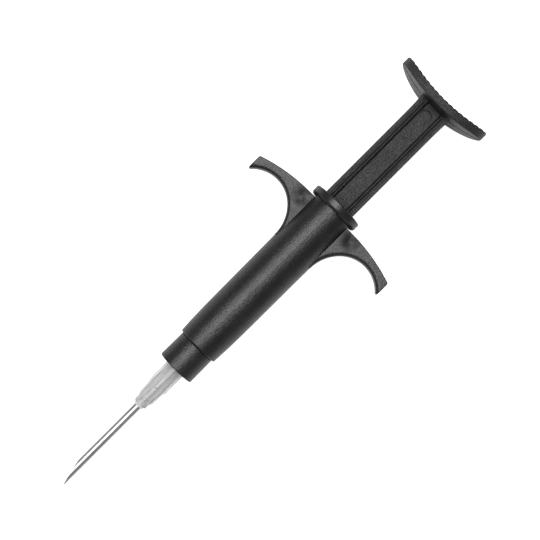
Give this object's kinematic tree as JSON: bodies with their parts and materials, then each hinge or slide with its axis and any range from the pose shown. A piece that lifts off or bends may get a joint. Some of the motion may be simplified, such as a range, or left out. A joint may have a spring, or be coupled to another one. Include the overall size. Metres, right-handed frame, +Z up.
{
  "type": "hand implant injector",
  "caption": "Hand-held plunger injector with finger wings, a sprung thumb plunger, a lock collar and a wide-bore bevelled needle in a clear hub.",
  "frame": {"origin": "middle of the whole object's box, on the tool axis", "axes": "+X along the tool axis from the needle to the thumb rest, +Y across the finger wings, +Z up, square to the wings, with the tool lying flat"},
  "size_m": [0.1636, 0.054, 0.0172],
  "materials": {
    "black_moulding": "fine matte moulding",
    "black_collar": "fine matte moulding",
    "black_plunger": "spark-eroded matte moulding",
    "black_nose": "fine matte moulding",
    "foot_plastic": "natural acetal",
    "core_plastic": "smooth moulding",
    "rod_steel": "drawn stainless",
    "nut_brass": "turned",
    "spring_steel": "drawn wire",
    "washer_steel": "stamped",
    "ring_steel": "stamped spring steel",
    "hub_clear": "clear natural polypropylene",
    "epoxy": "cured epoxy",
    "cannula_steel": "polished stainless tube"
  },
  "bodies": {
    "barrel": {"barrel": "black_moulding", "end_cap": "black_collar", "luer_core": "core_plastic", "collar_retaining_ring": "ring_steel", "spring_seat": "washer_steel", "return_spring": "spring_steel"},
    "plunger": {"plunger": "black_plunger", "plunger_foot": "foot_plastic", "push_rod": "rod_steel", "rod_nut": "nut_brass"},
    "lock_collar": {"lock_collar": "black_nose"},
    "needle": {"needle_hub": "hub_clear", "cannula": "cannula_steel", "hub_bond": "epoxy"}
  },
  "joints": [
    {"name": "plunger_slide", "type": "slide", "parent": "barrel", "child": "plunger", "axis": [-1, 0, 0], "range_m": [0, 0.038], "stiffness_N_per_m": 120, "springref_m": -0.004, "deforming": ["return_spring"]},
    {"name": "lock_collar_turn", "type": "hinge", "parent": "barrel", "child": "lock_collar", "pos_m": [-0.02934, 0, 0], "axis": [1, 0, 0], "range_deg": [0, 270]},
    {"name": "needle_slide", "type": "slide", "parent": "barrel", "child": "needle", "axis": [-1, 0, 0], "range_m": [0, 0.00374]}
  ],
  "couplings": [
    {"joint": "lock_collar_turn", "follows": "needle_slide", "rad_per_m": 1256.6}
  ]
}
